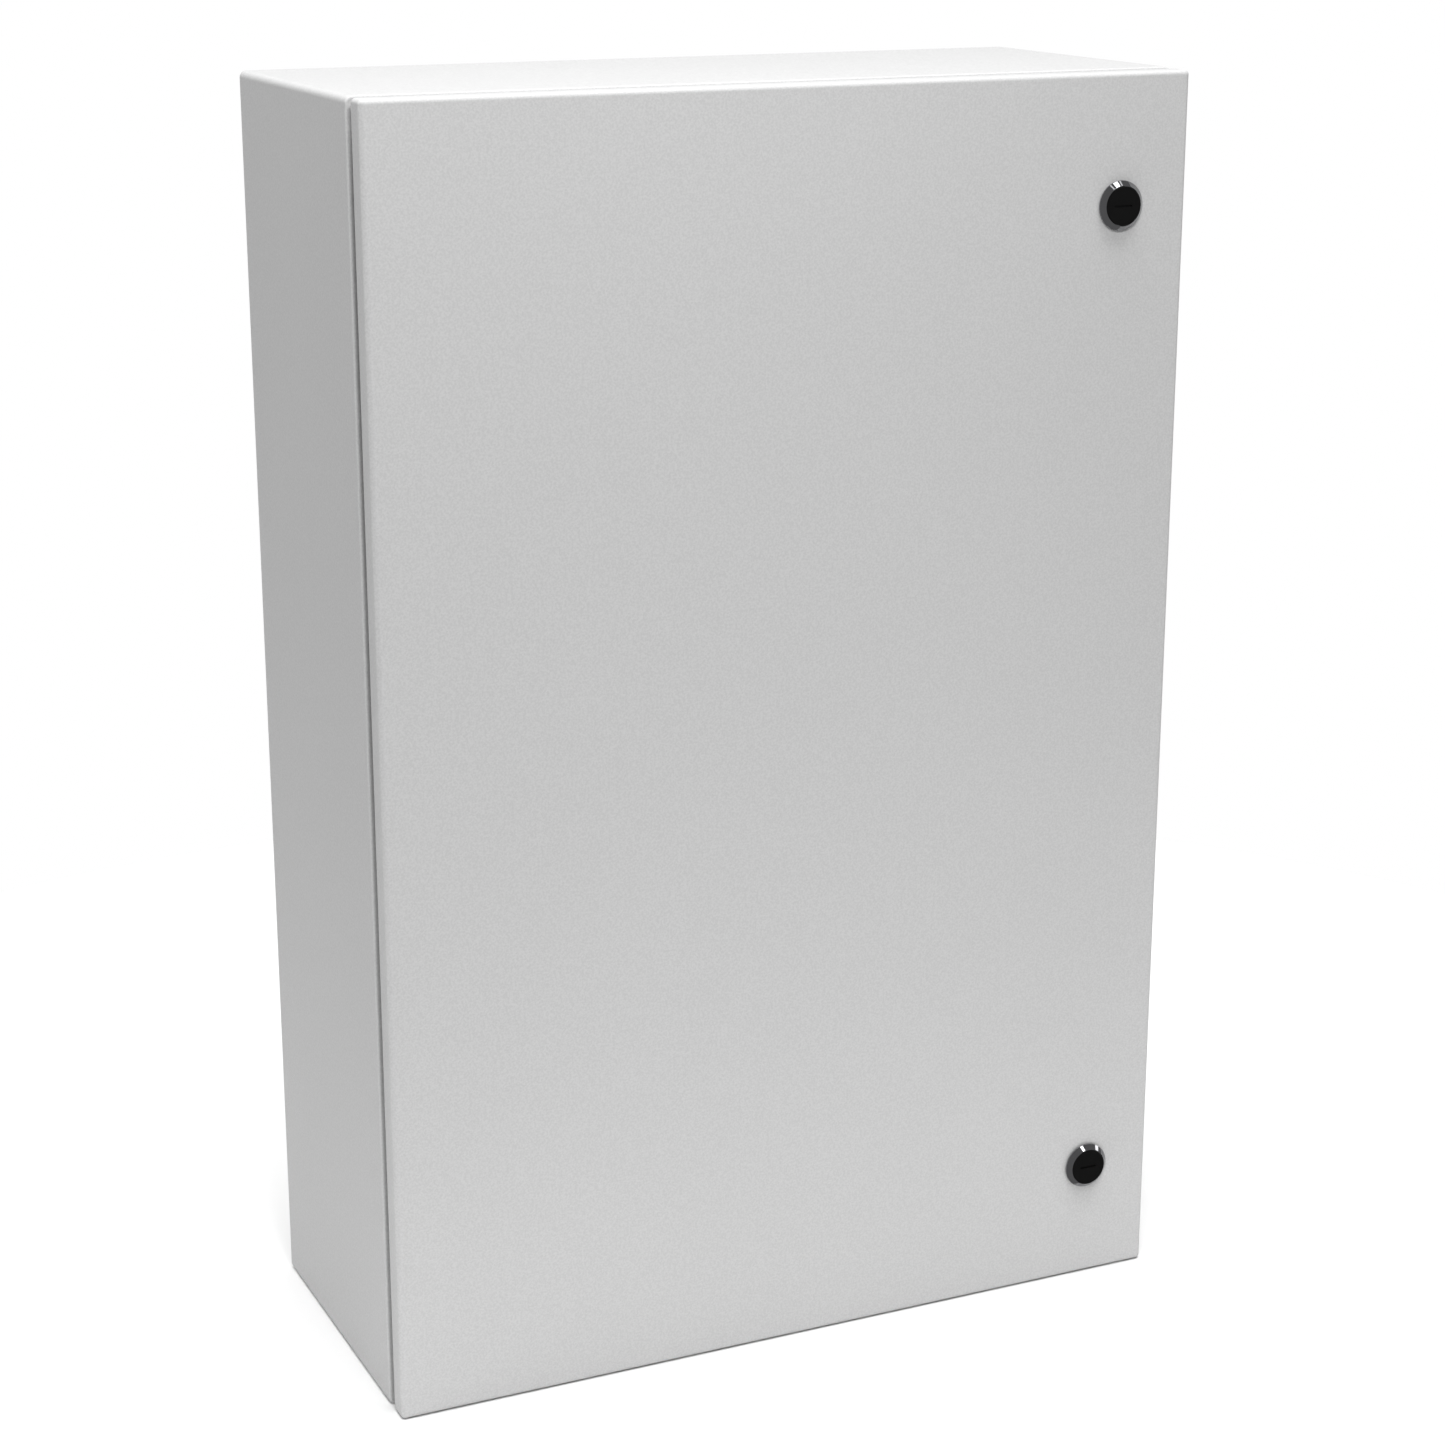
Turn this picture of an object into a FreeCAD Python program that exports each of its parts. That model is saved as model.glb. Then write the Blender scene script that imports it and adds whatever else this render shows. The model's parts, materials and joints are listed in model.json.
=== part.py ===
import FreeCAD, Part
import math
import os

# A wall-mounted sheet-steel switchboard cabinet with one hinged door.
# Millimetres. X runs to the right as seen from the front, Y runs back into the cabinet, Z is up.
# The origin is under the middle of the whole object, on the plane that the cabinet stands on.

Vector = FreeCAD.Vector
os.makedirs("parts", exist_ok=True)

# Whole cabinet
cabinet_width = 609.6
cabinet_height = 914.4
cabinet_depth = 266.7
latch_proud = 5.0

# Sheets and folds
body_sheet = 1.5
door_sheet = 2.0
panel_sheet = 2.5
body_bend = 4.8
door_bend = 3.3
free_gap = 0.3

# Body: front flange, collar that the door gasket seals on, and the return behind
flange_setback = 25.2
flange_bend = 1.8
collar_inset = 32.5
collar_height = 15.3
collar_corner = 10.0
collar_bend = 1.2
back_return = 20.0
back_corner = 10.0
back_lap_gap = 0.5
joggle_gap = 2.0

# Door
door_inset = 0.6
skirt_depth = 15.6
gasket_width = 11.5
gasket_gap = 0.4
gasket_round = 3.0
rail_inset = 95.0
rail_end = 62.0
rail_width = 22.0
rail_foot = 9.0
rail_depth = 12.0
rail_hole_radius = 3.5
rail_hole_pitch = 25.0

# Door hinges
hinge_from_side = 10.0
hinge_from_front = 8.5
hinge_from_end = 140.0
barrel_radius = 4.0
pin_radius = 2.5
fit_gap = 0.05
body_barrel_half = 11.5
door_barrel_start = 12.0
door_barrel_end = 30.0
leaf_sheet = 2.5
door_leaf_sheet = 2.0
door_leaf_half = 34.0
door_leaf_near = 4.5
door_leaf_far = 22.5
door_web_half = 3.2
pin_head_height = 2.0
pin_head_round = 0.8
pin_tail = 1.5
clip_groove_width = 0.8
clip_groove_depth = 0.7
clip_sheet = 0.7
clip_setback = 0.9
clip_mouth_share = 0.8
foot_half = 31.0
foot_near = 18.0
foot_far = 31.0
arm_far = 26.0
hinge_screw_spacing = 42.0

# Quarter-turn latches
latch_from_side = 54.5
upper_latch_from_top = 92.2
lower_latch_from_bottom = 90.6
latch_flange_radius = 17.5
latch_rim = 1.0
latch_seal_sheet = 0.8
latch_seal_inset = 0.8
latch_face_radius = 14.2
latch_recess_radius = 13.8
latch_recess_depth = 2.9
insert_radius = 13.5
insert_thickness = 2.6
insert_chamfer = 0.3
insert_dog_gap = 0.5
slot_length = 14.0
slot_width = 1.4
slot_depth = 0.9
slot_end_flat = 0.05
shaft_radius = 7.0
latch_body_radius = 11.0
latch_body_flats = 20.0
latch_body_end = 27.8
latch_stop_depth = 4.0
latch_nut_flats = 27.0
latch_nut_thickness = 6.0
cam_front = 28.1
cam_sheet = 2.5
cam_reach = 40.0
cam_width = 16.0
cam_hub_radius = 11.0
cam_square = 8.0
cam_pinch = 0.1
cam_washer_radius = 6.5
cam_screw_head = 3.5
cam_screw_length = 10.0
cam_tap_depth = 11.0

# Mounting panel on its studs
mounting_panel_width = 533.4
mounting_panel_height = 838.2
mounting_panel_fold = 12.0
panel_inner_bend = 1.5
panel_stand_off = 17.5
panel_stud_spacing_x = 495.3
panel_stud_spacing_z = 800.1
panel_stud_length = 35.0

# Wall fixing holes
wall_hole_radius = 5.0
wall_hole_spacing_x = 546.1
wall_hole_spacing_z = 850.9

# Cable entry in the bottom, closed by a gland plate
gland_cut_x = 380.0
gland_cut_y = 130.0
gland_lap = 20.0
gland_centre_y = 20.0
gland_sheet = 2.0
gland_gasket_sheet = 2.0
gland_stud_columns = 4
gland_stud_length = 14.0

# Earth studs
earth_stud_length = 22.0
body_earth_y = -50.0
body_earth_z = 75.0
door_earth_inset = 60.0

# Fasteners: thread radius, distance across flats, nut thickness, washer radius and thickness
m5 = {"radius": 2.5, "flats": 8.0, "nut": 4.0, "washer": 5.5, "washer_sheet": 1.2}
m6 = {"radius": 3.0, "flats": 10.0, "nut": 5.0, "washer": 6.5, "washer_sheet": 1.4}
m8 = {"radius": 4.0, "flats": 13.0, "nut": 6.5, "washer": 8.5, "washer_sheet": 1.6}
thread_gap = 0.05
hole_gap = 0.5
stud_chamfer = 0.8
nut_easing = 0.98
screw_head_radius = 4.4
screw_head_height = 2.6
screw_head_round = 1.5
screw_socket_flats = 3.0
screw_socket_depth = 1.6
screw_past_nut = 1.5

# Planes worked out from the sizes above
left = -cabinet_width / 2
right = cabinet_width / 2
top = cabinet_height
door_front = (latch_proud - cabinet_depth) / 2
back_face = door_front + cabinet_depth
door_inside = door_front + door_sheet
flange_front = door_front + flange_setback
flange_back = flange_front + body_sheet
collar_front = flange_front - collar_height
field_inside = back_face - body_sheet
lap_inside = field_inside - body_sheet
panel_back = field_inside - panel_stand_off
panel_front = panel_back - panel_sheet
hinge_x = left + hinge_from_side
hinge_y = door_front + hinge_from_front
latch_x = right - latch_from_side
upper_hinge_z = top - hinge_from_end
lower_hinge_z = hinge_from_end
upper_latch_z = top - upper_latch_from_top
lower_latch_z = lower_latch_from_bottom
collar_opening = collar_inset + body_sheet
gasket_outer = collar_inset + (body_sheet - gasket_width) / 2


def box(x0, x1, y0, y1, z0, z1):
    return Part.makeBox(x1 - x0, y1 - y0, z1 - z0, Vector(x0, y0, z0))


def cylinder_y(radius, y0, y1, x, z):
    return Part.makeCylinder(radius, y1 - y0, Vector(x, y0, z), Vector(0, 1, 0))


def cylinder_z(radius, z0, z1, x, y):
    return Part.makeCylinder(radius, z1 - z0, Vector(x, y, z0), Vector(0, 0, 1))


# The edges of a shape that a test on their bounding box picks.
def pick_edges(shape, test):
    return [edge for edge in shape.Edges if test(edge.BoundBox)]


def along_y(bounds):
    return bounds.YLength > 1.0 and bounds.XLength < 0.01 and bounds.ZLength < 0.01


def along_z(bounds):
    return bounds.ZLength > 1.0 and bounds.XLength < 0.01 and bounds.YLength < 0.01


# A slab across Y whose outline in XZ is a rectangle with round corners.
# The rectangle lies a given inset inside the cabinet's own front outline.
def outline_slab(inset, corner, y0, y1):
    slab = box(left + inset, right - inset, y0, y1, inset, top - inset)
    return slab.makeFillet(corner, pick_edges(slab, along_y))


# The edges of a shape that lie in one plane across Y and inside a given inset.
def edges_in_plane(shape, y, inset):
    def test(bounds):
        in_plane = abs(bounds.YMin - y) < 0.01 and abs(bounds.YMax - y) < 0.01
        in_x = bounds.XMin > left + inset - 0.01 and bounds.XMax < right - inset + 0.01
        in_z = bounds.ZMin > inset - 0.01 and bounds.ZMax < top - inset + 0.01
        return in_plane and in_x and in_z
    return pick_edges(shape, test)


# A hexagonal bar along Z from the origin with its flats facing X.
def hexagon(flats, height):
    corner = flats / math.sqrt(3)
    angles = [math.radians(30 + 60 * step) for step in range(7)]
    points = [Vector(corner * math.cos(angle), corner * math.sin(angle), 0) for angle in angles]
    return Part.Face(Part.makePolygon(points)).extrude(Vector(0, 0, height))


# A hex bar whose outer corners are turned off by a cone, as on every nut and bolt head.
def hex_blank(flats, height):
    flat_radius = flats / 2
    easing = Part.makeCone(flat_radius + height, flat_radius * nut_easing, height)
    return hexagon(flats, height).common(easing)


# A nut along Z from the origin, standing on its own washer, bored to clear the thread it runs on.
def nut_on_washer(size):
    washer = Part.makeCylinder(size["washer"], size["washer_sheet"])
    blank = hex_blank(size["flats"], size["nut"])
    blank.translate(Vector(0, 0, size["washer_sheet"]))
    height = size["washer_sheet"] + size["nut"]
    bore = Part.makeCylinder(size["radius"] + thread_gap, height)
    return washer.fuse(blank).removeSplitter().cut(bore)


# A plain stud along Z from the origin with a chamfered free end.
def stud(size, length):
    rod = Part.makeCylinder(size["radius"], length)
    tip = pick_edges(rod, lambda bounds: bounds.ZMin > length - 0.01)
    return rod.makeChamfer(stud_chamfer, tip)


# Moves a solid that was drawn along Z from the origin so that it points along another direction.
def aim(shape, direction, place):
    turned = shape.copy()
    rotation = FreeCAD.Rotation(Vector(0, 0, 1), direction)
    turned.Placement = FreeCAD.Placement(place, rotation)
    return turned


def save(name, solids):
    shape = solids[0] if len(solids) == 1 else Part.makeCompound(solids)
    shape.exportStep("parts/" + name + ".step")


# ---- body: one folded ring with a flange and a gasket collar in front and a return behind ----

def hinge_screw_places():
    x = left + (foot_near + foot_far) / 2
    offsets = (-hinge_screw_spacing / 2, hinge_screw_spacing / 2)
    return [(x, z + offset) for z in (upper_hinge_z, lower_hinge_z) for offset in offsets]


def gland_stud_places():
    span_x = gland_cut_x + gland_lap
    span_y = gland_cut_y + gland_lap
    pitch = span_x / (gland_stud_columns - 1)
    columns = [column * pitch - span_x / 2 for column in range(gland_stud_columns)]
    rows = (gland_centre_y - span_y / 2, gland_centre_y + span_y / 2)
    return [(x, y) for x in columns for y in rows]


# A slab along Z around the gland opening, grown by a margin on every side.
def gland_slab(margin, corner, z0, z1):
    half_x = gland_cut_x / 2 + margin
    half_y = gland_cut_y / 2 + margin
    slab = box(-half_x, half_x, gland_centre_y - half_y, gland_centre_y + half_y, z0, z1)
    return slab.makeFillet(corner, pick_edges(slab, along_z))


def make_body_wrapper():
    outer = box(left, right, flange_front, back_face, 0, top)
    outer = outer.makeFillet(body_bend, pick_edges(outer, lambda b: b.YMax > back_face - 0.01))
    outer = outer.makeFillet(flange_bend, edges_in_plane(outer, flange_front, 0))
    near = body_sheet
    inner = box(left + near, right - near, flange_back, field_inside, near, top - near)
    inner_edges = pick_edges(inner, lambda b: b.YMax > field_inside - 0.01)
    inner = inner.makeFillet(body_bend - body_sheet, inner_edges)
    inner = inner.makeFillet(flange_bend - body_sheet, edges_in_plane(inner, flange_back, near))
    shell = outer.cut(inner)
    collar = outline_slab(collar_inset, collar_corner, collar_front, flange_back)
    opening_corner = collar_corner - body_sheet
    opening = outline_slab(collar_opening, opening_corner, collar_front - 1, flange_back + 1)
    shell = shell.fuse(collar).cut(opening).removeSplitter()
    shell = shell.makeFillet(collar_bend, edges_in_plane(shell, flange_front, collar_inset))
    outer_bend = collar_bend + body_sheet
    shell = shell.makeFillet(outer_bend, edges_in_plane(shell, flange_back, collar_opening))
    shell = shell.cut(outline_slab(back_return, back_corner, field_inside - 1, back_face + 1))
    shell = shell.cut(gland_slab(0, back_corner, -1, body_sheet + 1))
    for x, z in hinge_screw_places():
        hole = cylinder_y(m5["radius"] + hole_gap / 2, flange_front - 1, flange_back + 1, x, z)
        shell = shell.cut(hole)
    save("body_wrapper", [shell])


# The back sheet laps inside the return, and its field is pressed out flush with the back face.
def make_back_panel():
    lap_inset = body_bend + back_lap_gap
    lap = outline_slab(lap_inset, back_corner, lap_inside, field_inside)
    field_inset = back_return + joggle_gap
    field = outline_slab(field_inset, back_corner, field_inside, back_face)
    pocket_inset = field_inset + body_sheet
    pocket = outline_slab(pocket_inset, back_corner - body_sheet, lap_inside - 1, field_inside)
    panel = lap.fuse(field).cut(pocket)
    for x in (-wall_hole_spacing_x / 2, wall_hole_spacing_x / 2):
        for z in (top / 2 - wall_hole_spacing_z / 2, top / 2 + wall_hole_spacing_z / 2):
            panel = panel.cut(cylinder_y(wall_hole_radius, lap_inside - 1, back_face + 1, x, z))
    save("back_panel", [panel.removeSplitter()])


# ---- mounting panel on four welded studs ----

def panel_stud_places():
    columns = (-panel_stud_spacing_x / 2, panel_stud_spacing_x / 2)
    rows = (top / 2 - panel_stud_spacing_z / 2, top / 2 + panel_stud_spacing_z / 2)
    return [(x, z) for x in columns for z in rows]


def make_mounting_panel():
    half_x = mounting_panel_width / 2
    z0 = (top - mounting_panel_height) / 2
    z1 = z0 + mounting_panel_height
    fold_back = panel_front + mounting_panel_fold
    outer = box(-half_x, half_x, panel_front, fold_back, z0, z1)
    bend = panel_sheet + panel_inner_bend
    front_edges = pick_edges(outer, lambda b: along_z(b) and b.YMax < panel_front + 0.01)
    outer = outer.makeFillet(bend, front_edges)
    inner_x = half_x - panel_sheet
    inner = box(-inner_x, inner_x, panel_back, fold_back + 1, z0 - 1, z1 + 1)
    inner_edges = pick_edges(inner, lambda b: along_z(b) and b.YMax < panel_back + 0.01)
    inner = inner.makeFillet(bend - panel_sheet, inner_edges)
    panel = outer.cut(inner)
    for x, z in panel_stud_places():
        hole = cylinder_y(m8["radius"] + hole_gap, panel_front - 1, panel_back + 1, x, z)
        panel = panel.cut(hole)
    save("mounting_panel", [panel])


def make_panel_fixings():
    forward = Vector(0, -1, 0)
    studs = []
    spacers = []
    nuts = []
    for x, z in panel_stud_places():
        studs.append(aim(stud(m8, panel_stud_length), forward, Vector(x, field_inside, z)))
        sleeve = cylinder_y(m8["washer"], panel_back, field_inside, x, z)
        bore = cylinder_y(m8["radius"] + hole_gap / 2, panel_back, field_inside, x, z)
        spacers.append(sleeve.cut(bore))
        nuts.append(aim(nut_on_washer(m8), forward, Vector(x, panel_front, z)))
    save("panel_studs", studs)
    save("panel_spacers", spacers)
    save("panel_nuts", nuts)


# ---- gland plate, clamped from inside over the opening in the bottom ----

def make_gland_plate():
    gasket_bottom = body_sheet
    plate_bottom = gasket_bottom + gland_gasket_sheet
    plate_top = plate_bottom + gland_sheet
    ring = gland_slab(gland_lap, back_corner, gasket_bottom, plate_bottom)
    ring = ring.cut(gland_slab(0, back_corner, gasket_bottom - 1, plate_bottom + 1))
    plate = gland_slab(gland_lap, back_corner, plate_bottom, plate_top)
    studs = []
    nuts = []
    for x, y in gland_stud_places():
        hole = cylinder_z(m6["radius"] + hole_gap / 2, gasket_bottom - 1, plate_top + 1, x, y)
        ring = ring.cut(hole)
        plate = plate.cut(hole)
        studs.append(aim(stud(m6, gland_stud_length), Vector(0, 0, 1), Vector(x, y, body_sheet)))
        nuts.append(aim(nut_on_washer(m6), Vector(0, 0, 1), Vector(x, y, plate_top)))
    save("gland_gasket", [ring])
    save("gland_plate", [plate])
    save("gland_studs", studs)
    save("gland_nuts", nuts)


# ---- earth studs on the body's side wall and on the door ----

def make_earth_studs():
    inward = Vector(1, 0, 0)
    place = Vector(left + body_sheet, body_earth_y, body_earth_z)
    save("body_earth_stud", [aim(stud(m8, earth_stud_length), inward, place)])
    save("body_earth_nut", [aim(nut_on_washer(m8), inward, place)])
    back = Vector(0, 1, 0)
    place = Vector(left + door_earth_inset, door_inside, body_earth_z)
    save("door_earth_stud", [aim(stud(m8, earth_stud_length), back, place)])
    save("door_earth_nut", [aim(nut_on_washer(m8), back, place)])


# ---- door: a folded pan with round front edges and a square free edge ----

# The outline of the hole for a latch body: a circle with two flats.
def flatted_bar(radius, flats, y0, y1, x, z):
    round_bar = cylinder_y(radius, y0, y1, x, z)
    return round_bar.common(box(x - flats / 2, x + flats / 2, y0, y1, z - radius, z + radius))


def make_door_panel():
    inset = door_inset
    skirt_back = door_front + skirt_depth
    outer = box(left + inset, right - inset, door_front, skirt_back, inset, top - inset)
    outer = outer.makeFillet(door_bend, pick_edges(outer, lambda b: b.YMin < skirt_back - 0.01))
    near = inset + door_sheet
    inner = box(left + near, right - near, door_inside, skirt_back + 10, near, top - near)
    inner_edges = pick_edges(inner, lambda b: b.YMin < skirt_back)
    inner = inner.makeFillet(door_bend - door_sheet, inner_edges)
    door = outer.cut(inner)
    for z in (upper_latch_z, lower_latch_z):
        clear_radius = latch_body_radius + hole_gap / 2
        clear_flats = latch_body_flats + hole_gap
        hole = flatted_bar(clear_radius, clear_flats, door_front - 1, door_inside + 1, latch_x, z)
        door = door.cut(hole)
    save("door_panel", [door])


# Foam sealing strip that the body's collar presses into, drawn just clear of the collar.
def make_door_gasket():
    gasket_back = collar_front - gasket_gap
    outer_corner = collar_corner + (gasket_width - body_sheet) / 2
    inner_corner = outer_corner - gasket_width
    strip = outline_slab(gasket_outer, outer_corner, door_inside, gasket_back)
    inner_inset = gasket_outer + gasket_width
    hollow = outline_slab(inner_inset, inner_corner, door_inside - 1, gasket_back + 1)
    strip = strip.cut(hollow)
    strip = strip.makeFillet(gasket_round, edges_in_plane(strip, gasket_back, 0))
    save("door_gasket", [strip])


# A hat-section stiffener with a row of holes down its web.
def make_door_rail(name, centre_x):
    web = rail_width / 2
    foot = web + rail_foot
    sheet = body_sheet
    half_profile = [(foot, 0), (foot, sheet), (web, sheet), (web, rail_depth)]
    inner_half = [(web - sheet, rail_depth - sheet), (web - sheet, 0)]
    profile = half_profile + [(-x, y) for x, y in reversed(half_profile)]
    profile += [(-x, y) for x, y in reversed(inner_half)] + inner_half
    profile.append(profile[0])
    points = [Vector(centre_x + x, door_inside + y, rail_end) for x, y in profile]
    length = top - 2 * rail_end
    rail = Part.Face(Part.makePolygon(points)).extrude(Vector(0, 0, length))
    web_plane = door_inside + rail_depth
    rail = rail.makeFillet(sheet, pick_edges(rail, lambda b: along_z(b) and b.YMin > web_plane - 0.01))
    hole_count = int(length / rail_hole_pitch)
    first = top / 2 - (hole_count - 1) * rail_hole_pitch / 2
    for step in range(hole_count):
        z = first + step * rail_hole_pitch
        rail = rail.cut(cylinder_y(rail_hole_radius, web_plane - 2 * sheet, web_plane + 1, centre_x, z))
    save(name, [rail])


# ---- hinges: knuckles inside the skirt, so nothing shows outside when the door is shut ----

def make_hinge(prefix, z):
    bore_radius = pin_radius + fit_gap

    leaf_back = door_inside + door_leaf_sheet
    leaf = box(left + door_leaf_near, left + door_leaf_far, door_inside, leaf_back,
               z - door_leaf_half, z + door_leaf_half)
    for side in (-1, 1):
        z0, z1 = sorted((z + side * door_barrel_start, z + side * door_barrel_end))
        web = box(hinge_x - door_web_half, hinge_x + door_web_half, leaf_back, hinge_y, z0, z1)
        leaf = leaf.fuse(cylinder_z(barrel_radius, z0, z1, hinge_x, hinge_y)).fuse(web)
        leaf = leaf.cut(cylinder_z(bore_radius, z0 - 1, z1 + 1, hinge_x, hinge_y))
    save(prefix + "_door_hinge", [leaf.removeSplitter()])

    half_arm = leaf_sheet / 2
    z0 = z - body_barrel_half
    z1 = z + body_barrel_half
    arm_x = left + arm_far
    reach = box(hinge_x, arm_x, hinge_y - half_arm, hinge_y + half_arm, z0, z1)
    rise = box(arm_x - leaf_sheet, arm_x, hinge_y - half_arm, flange_front - leaf_sheet, z0, z1)
    arm = reach.fuse(rise).removeSplitter()
    outside_bend = pick_edges(arm, lambda b: along_z(b) and b.XMin > arm_x - 0.01 and b.YMax < hinge_y)
    arm = arm.makeFillet(leaf_sheet, outside_bend)
    foot = box(left + foot_near, left + foot_far, flange_front - leaf_sheet, flange_front,
               z - foot_half, z + foot_half)
    foot = foot.makeFillet(leaf_sheet, pick_edges(foot, along_y))
    knuckle = cylinder_z(barrel_radius, z0, z1, hinge_x, hinge_y)
    body_leaf = foot.fuse(arm).fuse(knuckle)
    body_leaf = body_leaf.cut(cylinder_z(bore_radius, z0 - 1, z1 + 1, hinge_x, hinge_y))
    for x, screw_z in hinge_screw_places():
        clear = m5["radius"] + hole_gap / 2
        hole = cylinder_y(clear, flange_front - leaf_sheet - 1, flange_front + 1, x, screw_z)
        body_leaf = body_leaf.cut(hole)
    save(prefix + "_body_hinge", [body_leaf.removeSplitter()])

    head_z = z + door_barrel_end
    head_top = head_z + pin_head_height
    clip_z = z - door_barrel_end - clip_setback
    clip_top = clip_z + clip_groove_width
    pin = cylinder_z(pin_radius, clip_z - pin_tail, head_z, hinge_x, hinge_y)
    head = cylinder_z(barrel_radius, head_z, head_top, hinge_x, hinge_y)
    head = head.makeFillet(pin_head_round, pick_edges(head, lambda b: b.ZMin > head_top - 0.01))
    groove_radius = pin_radius - clip_groove_depth
    groove = cylinder_z(barrel_radius, clip_z, clip_top, hinge_x, hinge_y)
    groove = groove.cut(cylinder_z(groove_radius, clip_z, clip_top, hinge_x, hinge_y))
    save(prefix + "_hinge_pin", [pin.fuse(head).cut(groove).removeSplitter()])

    clip = cylinder_z(barrel_radius, clip_z + fit_gap, clip_z + fit_gap + clip_sheet, hinge_x, hinge_y)
    clip = clip.cut(cylinder_z(groove_radius + fit_gap, clip_z, clip_top, hinge_x, hinge_y))
    mouth_half = groove_radius * clip_mouth_share
    mouth_end = hinge_x + barrel_radius + 1
    mouth = box(hinge_x, mouth_end, hinge_y - mouth_half, hinge_y + mouth_half, clip_z, clip_top)
    save(prefix + "_pin_clip", [clip.cut(mouth)])


def make_hinge_fixings():
    head_front = flange_front - leaf_sheet - screw_head_height
    screws = []
    nuts = []
    for x, z in hinge_screw_places():
        head = cylinder_y(screw_head_radius, head_front, head_front + screw_head_height, x, z)
        head = head.makeFillet(screw_head_round, pick_edges(head, lambda b: b.YMax < head_front + 0.01))
        key_hole = hexagon(screw_socket_flats, screw_socket_depth)
        socket = aim(key_hole, Vector(0, 1, 0), Vector(x, head_front, z))
        shank_end = flange_back + m5["washer_sheet"] + m5["nut"] + screw_past_nut
        shank = cylinder_y(m5["radius"], head_front + screw_head_height, shank_end, x, z)
        screws.append(head.fuse(shank).removeSplitter().cut(socket))
        nuts.append(aim(nut_on_washer(m5), Vector(0, 1, 0), Vector(x, flange_back, z)))
    save("body_hinge_screws", screws)
    save("body_hinge_nuts", nuts)


# ---- quarter-turn latch: chromed housing, slotted insert, nut behind the door, and cam ----

def make_latch(prefix, z):
    x = latch_x
    rim_back = door_front - latch_seal_sheet
    rim_front = rim_back - latch_rim
    face = door_front - latch_proud

    seal = cylinder_y(latch_flange_radius - latch_seal_inset, rim_back, door_front, x, z)
    seal = seal.cut(cylinder_y(latch_body_radius + hole_gap / 2, rim_back - 1, door_front + 1, x, z))
    save(prefix + "_latch_seal", [seal])

    rim = cylinder_y(latch_flange_radius, rim_front, rim_back, x, z)
    cone = Part.makeCone(latch_face_radius, latch_flange_radius, rim_front - face,
                         Vector(x, face, z), Vector(0, 1, 0))
    body_end = door_front + latch_body_end
    barrel = flatted_bar(latch_body_radius, latch_body_flats, rim_back, body_end, x, z)
    recess_floor = face + latch_recess_depth
    housing = rim.fuse(cone).fuse(barrel).removeSplitter()
    housing = housing.cut(cylinder_y(latch_recess_radius, face - 1, recess_floor, x, z))
    housing = housing.cut(cylinder_y(shaft_radius + fit_gap, face, body_end + 1, x, z))
    stop_face = body_end - latch_stop_depth
    reach = latch_flange_radius
    housing = housing.cut(box(x - reach, x + reach, stop_face, body_end + 1, z - reach, z))
    save(prefix + "_latch_housing", [housing])

    nut_blank = hex_blank(latch_nut_flats, latch_nut_thickness)
    nut_blank = aim(nut_blank, Vector(0, 1, 0), Vector(x, door_inside, z))
    nut_end = door_inside + latch_nut_thickness
    nut_bore = cylinder_y(latch_body_radius + fit_gap, door_inside - 1, nut_end + 1, x, z)
    save(prefix + "_latch_nut", [nut_blank.cut(nut_bore)])

    disc_back = face + insert_thickness
    cam_face = door_front + cam_front
    cam_back = cam_face + cam_sheet
    disc = cylinder_y(insert_radius, face, disc_back, x, z)
    disc = disc.makeChamfer(insert_chamfer, pick_edges(disc, lambda b: b.YMax < face + 0.01))
    slot = box(x - slot_length / 2, x + slot_length / 2, face - 1, face + slot_depth,
               z - slot_width / 2, z + slot_width / 2)
    slot = slot.makeFillet(slot_width / 2 - slot_end_flat, pick_edges(slot, along_y))
    shaft = cylinder_y(shaft_radius, disc_back, cam_face, x, z)
    half = cam_square / 2
    square = box(x - half, x + half, cam_face, cam_back - cam_pinch, z - half, z + half)
    dog_radius = latch_body_radius - insert_dog_gap
    dog = cylinder_y(dog_radius, stop_face + free_gap, body_end, x, z)
    dog = dog.common(box(x - reach, x - free_gap, stop_face, body_end, z - reach, z - free_gap))
    insert = disc.cut(slot).fuse(shaft).fuse(square).fuse(dog).removeSplitter()
    tapped = cylinder_y(m5["radius"] + thread_gap, cam_face - cam_tap_depth, cam_back + 1, x, z)
    save(prefix + "_latch_insert", [insert.cut(tapped)])

    tip_z = z - cam_reach + cam_width / 2
    cam = cylinder_y(cam_hub_radius, cam_face, cam_back, x, z)
    cam = cam.fuse(box(x - cam_width / 2, x + cam_width / 2, cam_face, cam_back, tip_z, z))
    cam = cam.fuse(cylinder_y(cam_width / 2, cam_face, cam_back, x, tip_z)).removeSplitter()
    hole_half = half + fit_gap
    cam = cam.cut(box(x - hole_half, x + hole_half, cam_face - 1, cam_back + 1,
                      z - hole_half, z + hole_half))
    save(prefix + "_latch_cam", [cam])

    washer_back = cam_back + m5["washer_sheet"]
    washer = cylinder_y(cam_washer_radius, cam_back, washer_back, x, z)
    washer = washer.cut(cylinder_y(m5["radius"] + hole_gap / 2, cam_back - 1, washer_back + 1, x, z))
    save(prefix + "_cam_washer", [washer])

    head_blank = hex_blank(m5["flats"], cam_screw_head)
    screw_head = aim(head_blank, Vector(0, 1, 0), Vector(x, washer_back, z))
    shank = cylinder_y(m5["radius"], cam_face - cam_screw_length, washer_back, x, z)
    save(prefix + "_cam_screw", [screw_head.fuse(shank).removeSplitter()])


make_body_wrapper()
make_back_panel()
make_mounting_panel()
make_panel_fixings()
make_gland_plate()
make_earth_studs()
make_door_panel()
make_door_gasket()
make_door_rail("hinge_side_rail", left + rail_inset)
make_door_rail("latch_side_rail", right - rail_inset)
make_hinge("upper", upper_hinge_z)
make_hinge("lower", lower_hinge_z)
make_hinge_fixings()
make_latch("upper", upper_latch_z)
make_latch("lower", lower_latch_z)
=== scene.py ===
import json
import math

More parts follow.
